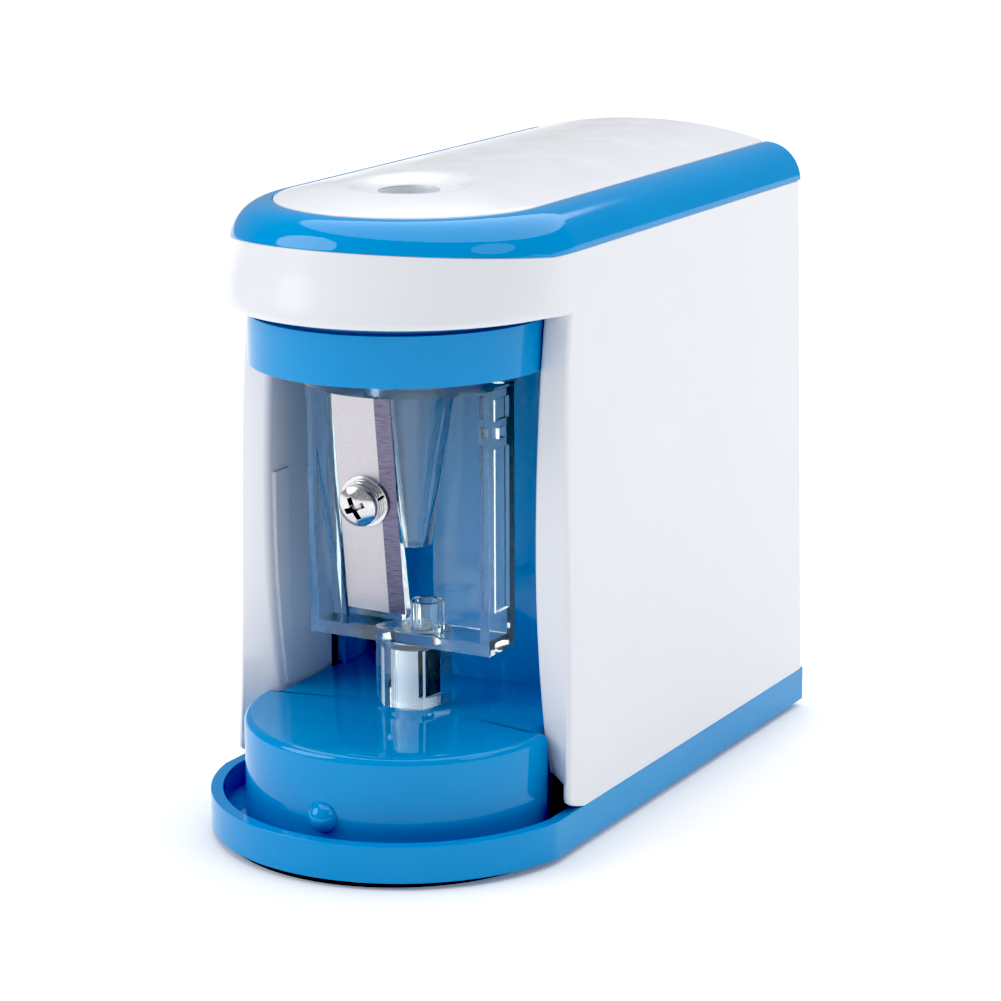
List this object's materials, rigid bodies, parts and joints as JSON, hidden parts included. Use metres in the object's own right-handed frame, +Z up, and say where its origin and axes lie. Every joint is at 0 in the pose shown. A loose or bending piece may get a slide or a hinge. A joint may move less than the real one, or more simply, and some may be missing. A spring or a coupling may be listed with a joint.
{
  "type": "electric pencil sharpener",
  "caption": "Battery-driven desktop pencil sharpener: pencil hole in a domed top, upright clear cutter with a screwed blade over a round plinth, white body with blue trim.",
  "frame": {"origin": "on the table, at the middle of the footprint", "axes": "+Z up, +Y from the open cutter chamber to the rear wall, +X to the right seen from the front"},
  "size_m": [0.055, 0.107, 0.0927],
  "materials": {
    "blue": "glossy, bright blue",
    "white": "glossy white",
    "black_foot": "matt black",
    "clear": "clear, glossy",
    "steel": "brushed",
    "blade_steel": "ground",
    "can_steel": "zinc-plated, satin",
    "gear_plastic": "matt, off-white",
    "brass": "bright",
    "box_black": "matt black",
    "cell_jacket": "printed jacket without words, satin"
  },
  "bodies": {
    "housing": {"base_tray": "blue", "front_foot": "black_foot", "rear_feet": "black_foot", "gear_cover": "blue", "side_shell": "white", "top_trim": "blue", "top_plate": "white", "inlet_tube": "white", "bearing_ring": "blue", "back_wall": "blue", "body_screws": "steel", "cover_screws": "steel", "motor_can": "can_steel", "motor_end_cap": "gear_plastic", "motor_screws": "steel", "middle_pin": "steel", "drive_pin": "steel", "battery_box": "box_black", "cells": "cell_jacket", "contact_springs": "steel", "contact_plates": "brass", "start_switch": "box_black", "lever_pin": "steel", "motor_terminals": "brass"},
    "cutter": {"cutter_frame": "clear", "blade": "blade_steel", "blade_screw": "steel", "flat_washer": "steel", "spring_washer": "steel", "drive_shaft": "white", "drive_gear": "gear_plastic"},
    "middle": {"middle_gear": "gear_plastic"},
    "motor_rotor": {"motor_shaft": "steel", "motor_pinion": "brass"},
    "door": {"battery_door": "white"},
    "lever": {"switch_lever": "steel"}
  },
  "joints": [
    {"name": "cutter_spin", "type": "hinge", "parent": "housing", "child": "cutter", "pos_m": [0, -0.023, 0.04], "axis": [0, 0, 1], "continuous": true},
    {"name": "middle_spin", "type": "hinge", "parent": "housing", "child": "middle", "pos_m": [0, -0.0075, 0.008], "axis": [0, 0, 1], "continuous": true},
    {"name": "motor_spin", "type": "hinge", "parent": "housing", "child": "motor_rotor", "pos_m": [0, 0.0065, 0.03], "axis": [0, 0, 1], "continuous": true},
    {"name": "door_hinge", "type": "hinge", "parent": "housing", "child": "door", "pos_m": [0, 0.0523, 0.0125], "axis": [-1, 0, 0], "range_deg": [0, 85]},
    {"name": "lever_pivot", "type": "hinge", "parent": "housing", "child": "lever", "pos_m": [0.0084, -0.03, 0.083], "axis": [0, 0, -1], "range_deg": [0, 9], "stiffness_Nm_per_rad": 0.002}
  ],
  "couplings": [
    {"joint": "middle_spin", "follows": "cutter_spin", "ratio": -3.1333},
    {"joint": "motor_spin", "follows": "cutter_spin", "ratio": 11.489}
  ]
}
